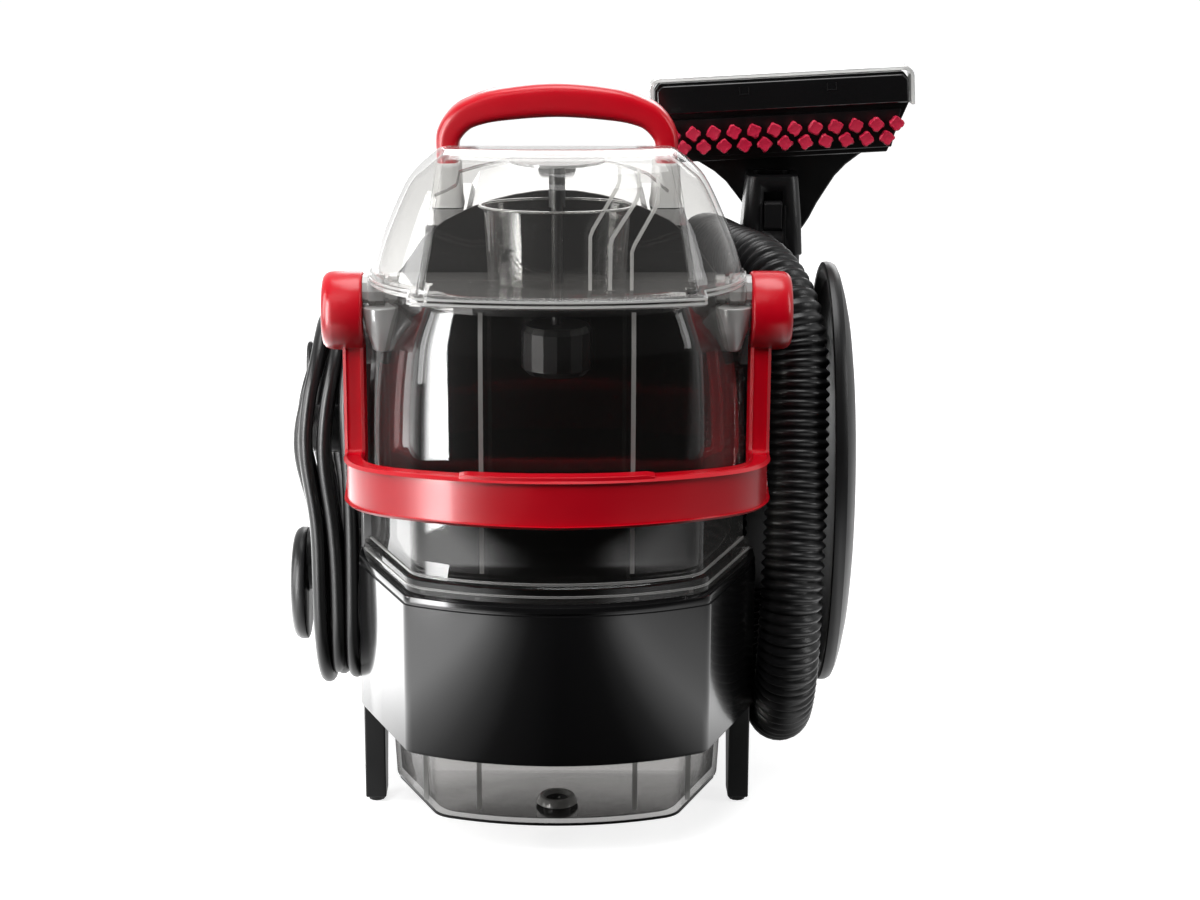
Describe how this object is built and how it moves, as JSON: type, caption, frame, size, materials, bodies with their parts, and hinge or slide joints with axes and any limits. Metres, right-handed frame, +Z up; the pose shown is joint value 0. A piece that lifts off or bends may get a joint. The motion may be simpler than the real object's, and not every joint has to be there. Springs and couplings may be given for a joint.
{
  "type": "portable spot extractor",
  "caption": "Portable carpet spot extractor with clear front recovery tank, locking bail, carry handle, side hose rack with brush tool, and corded side wrap.",
  "frame": {"origin": "on the floor, in the machine's middle plane, 2 mm below the flat underside of the base tray's sump", "axes": "+Z up, -Y towards the front (tank side), +X towards the hose rack"},
  "size_m": [0.3474, 0.3674, 0.3877],
  "materials": {
    "gloss_black": "high-gloss moulded black plastic",
    "satin_black": "fine satin moulded black plastic",
    "red_plastic": "semi-gloss red moulded plastic",
    "smoke_clear": "smoky transparent moulded plastic",
    "clear": "clear transparent moulded plastic",
    "hose_black": "satin ribbed black hose",
    "rubber": "black rubber",
    "bristle": "red nylon tufts",
    "steel": "bright steel",
    "grey_plastic": "grey moulded plastic"
  },
  "bodies": {
    "root": {"base_tray": "satin_black", "left_runner": "satin_black", "right_runner": "satin_black", "foot_front_left": "rubber", "foot_front_right": "rubber", "foot_rear_left": "rubber", "foot_rear_right": "rubber", "front_band": "gloss_black", "motor_housing": "gloss_black", "rear_panel": "gloss_black", "top_cover": "gloss_black", "carry_handle": "red_plastic", "handle_screw_left": "steel", "handle_screw_right": "steel", "power_switch": "grey_plastic", "button_spring": "steel", "fan_housing": "grey_plastic", "vacuum_motor": "steel", "pump_body": "grey_plastic", "pump_tube": "clear", "inlet_socket": "grey_plastic", "hose_rack_hub": "gloss_black", "hose_rack_flange": "satin_black", "tool_holster": "satin_black", "hose_port": "satin_black", "hose": "hose_black", "grip": "satin_black", "trigger_pin": "steel", "neck": "satin_black", "cord_pod": "gloss_black", "cord_hook_lower": "satin_black", "strain_relief": "rubber", "cord_lead": "rubber", "cord_coil": "rubber", "cord_tail": "rubber", "mains_plug": "rubber"},
    "recovery_tank_body": {"recovery_tank": "smoke_clear", "drain_plug": "rubber"},
    "lid_body": {"tank_lid": "clear", "lid_gasket": "rubber", "baffle_plate": "clear", "separator_tower": "clear"},
    "float_body": {"shutoff_float": "satin_black"},
    "bail_body": {"bail_handle": "red_plastic", "bail_pin_left": "steel", "bail_pin_right": "steel"},
    "clean_tank_body": {"clean_tank": "smoke_clear", "clean_tank_cap": "satin_black", "cap_gasket": "rubber", "valve_spring": "steel"},
    "valve_body": {"valve_poppet": "satin_black"},
    "button_body": {"power_button": "grey_plastic"},
    "impeller_body": {"impeller": "grey_plastic"},
    "hook_body": {"cord_hook_upper": "satin_black"},
    "trigger_body": {"trigger": "red_plastic"},
    "latch_body": {"latch_button": "satin_black"},
    "tool_body_group": {"tool_body": "satin_black", "tool_lip": "satin_black", "brush_strip": "bristle", "nozzle_window": "clear"}
  },
  "joints": [
    {"name": "tank_lift", "type": "slide", "parent": "root", "child": "recovery_tank_body", "axis": [0, 0, 1], "range_m": [0, 0.15]},
    {"name": "lid_lift", "type": "slide", "parent": "recovery_tank_body", "child": "lid_body", "axis": [0, 0, 1], "range_m": [0, 0.022]},
    {"name": "bail_swing", "type": "hinge", "parent": "recovery_tank_body", "child": "bail_body", "pos_m": [0, -0.09, 0.279], "axis": [-1, 0, 0], "range_deg": [0, 150]},
    {"name": "float_rise", "type": "slide", "parent": "lid_body", "child": "float_body", "axis": [0, 0, 1], "range_m": [0, 0.018]},
    {"name": "clean_tank_lift", "type": "slide", "parent": "root", "child": "clean_tank_body", "axis": [0, 0, 1], "range_m": [0, 0.1]},
    {"name": "valve_open", "type": "slide", "parent": "clean_tank_body", "child": "valve_body", "axis": [0, 0, 1], "range_m": [0, 0.003], "stiffness_N_per_m": 60, "springref_m": -0.004, "deforming": ["valve_spring"]},
    {"name": "power_press", "type": "slide", "parent": "root", "child": "button_body", "axis": [0, 0, -1], "range_m": [0, 0.003], "stiffness_N_per_m": 300, "springref_m": -0.003, "deforming": ["button_spring"]},
    {"name": "impeller_spin", "type": "hinge", "parent": "root", "child": "impeller_body", "pos_m": [0, 0.004, 0.144], "axis": [0, 0, 1], "continuous": true},
    {"name": "cord_hook_turn", "type": "hinge", "parent": "root", "child": "hook_body", "pos_m": [-0.1048, -0.01, 0.1965], "axis": [1, 0, 0], "range_deg": [0, 180]},
    {"name": "trigger_pull", "type": "hinge", "parent": "root", "child": "trigger_body", "pos_m": [0.1225, 0.09, 0.2655], "axis": [-1, 0, 0], "range_deg": [0, 9], "stiffness_Nm_per_rad": 0.5, "springref_deg": -5.73},
    {"name": "latch_press", "type": "slide", "parent": "root", "child": "latch_body", "axis": [0, 1, 0], "range_m": [0, 0.002], "stiffness_N_per_m": 300, "springref_m": -0.002},
    {"name": "tool_release", "type": "slide", "parent": "root", "child": "tool_body_group", "axis": [0, 0, 1], "range_m": [0, 0.05]}
  ]
}
